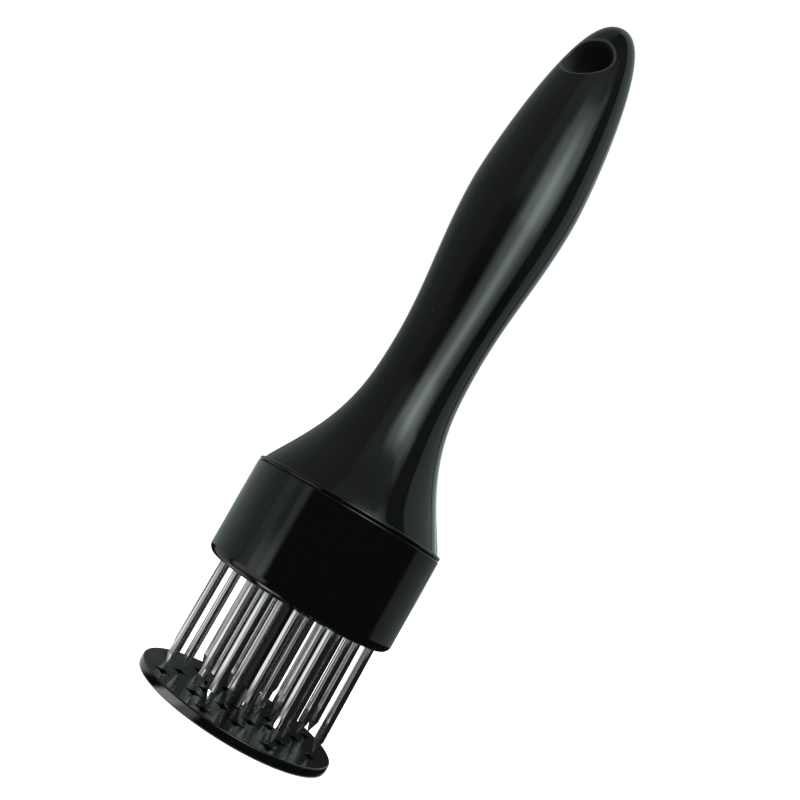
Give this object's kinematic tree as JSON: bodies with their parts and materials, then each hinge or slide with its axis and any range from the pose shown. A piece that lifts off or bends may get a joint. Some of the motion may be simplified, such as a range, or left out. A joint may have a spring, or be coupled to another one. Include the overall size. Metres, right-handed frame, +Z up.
{
  "type": "blade meat tenderizer",
  "caption": "Push-down kitchen tenderizer: black hollow handle and round collar full of steel needle blades, with a sprung round guard plate that slides up along them.",
  "frame": {"origin": "middle of the guard plate's flat underside", "axes": "+Z up the tool's axis towards the handle's tip; the hanging hole runs along Y; the handle halves part on the XZ plane"},
  "size_m": [0.0518, 0.0518, 0.2054],
  "materials": {
    "handle_black": "polished black moulding",
    "collar_black": "polished black moulding",
    "guard_black": "polished black moulding",
    "rod_black": "satin black",
    "needle_steel": "polished stainless steel",
    "screw_steel": "zinc plated",
    "inner_steel": "plain stamped sheet",
    "spring_steel": "drawn wire",
    "inner_plastic": "moulded, unpolished",
    "bush_plastic": "natural acetal"
  },
  "bodies": {
    "handle_body": {"handle_front": "handle_black", "handle_back": "handle_black", "collar": "collar_black", "needle_block": "inner_plastic", "clamp_plate": "inner_steel", "clamp_screw_1": "screw_steel", "clamp_screw_2": "screw_steel", "clamp_screw_3": "screw_steel", "clamp_screw_4": "screw_steel", "guide_bush": "bush_plastic", "spring_seat": "inner_plastic", "return_spring": "spring_steel", "needle_01": "needle_steel", "needle_02": "needle_steel", "needle_03": "needle_steel", "needle_04": "needle_steel", "needle_05": "needle_steel", "needle_06": "needle_steel", "needle_07": "needle_steel", "needle_08": "needle_steel", "needle_09": "needle_steel", "needle_10": "needle_steel", "needle_11": "needle_steel", "needle_12": "needle_steel", "needle_13": "needle_steel", "needle_14": "needle_steel", "needle_15": "needle_steel", "needle_16": "needle_steel", "needle_17": "needle_steel", "needle_18": "needle_steel", "needle_19": "needle_steel", "needle_20": "needle_steel", "needle_21": "needle_steel", "needle_22": "needle_steel", "needle_23": "needle_steel", "needle_24": "needle_steel"},
    "guard_body": {"guard_plate": "guard_black", "guide_rod": "rod_black", "retaining_clip": "spring_steel", "spring_cup": "inner_plastic"}
  },
  "joints": [
    {"name": "guard_slide", "type": "slide", "parent": "handle_body", "child": "guard_body", "axis": [0, 0, 1], "range_m": [0, 0.028], "stiffness_N_per_m": 400, "springref_m": -0.02, "deforming": ["return_spring"]}
  ]
}
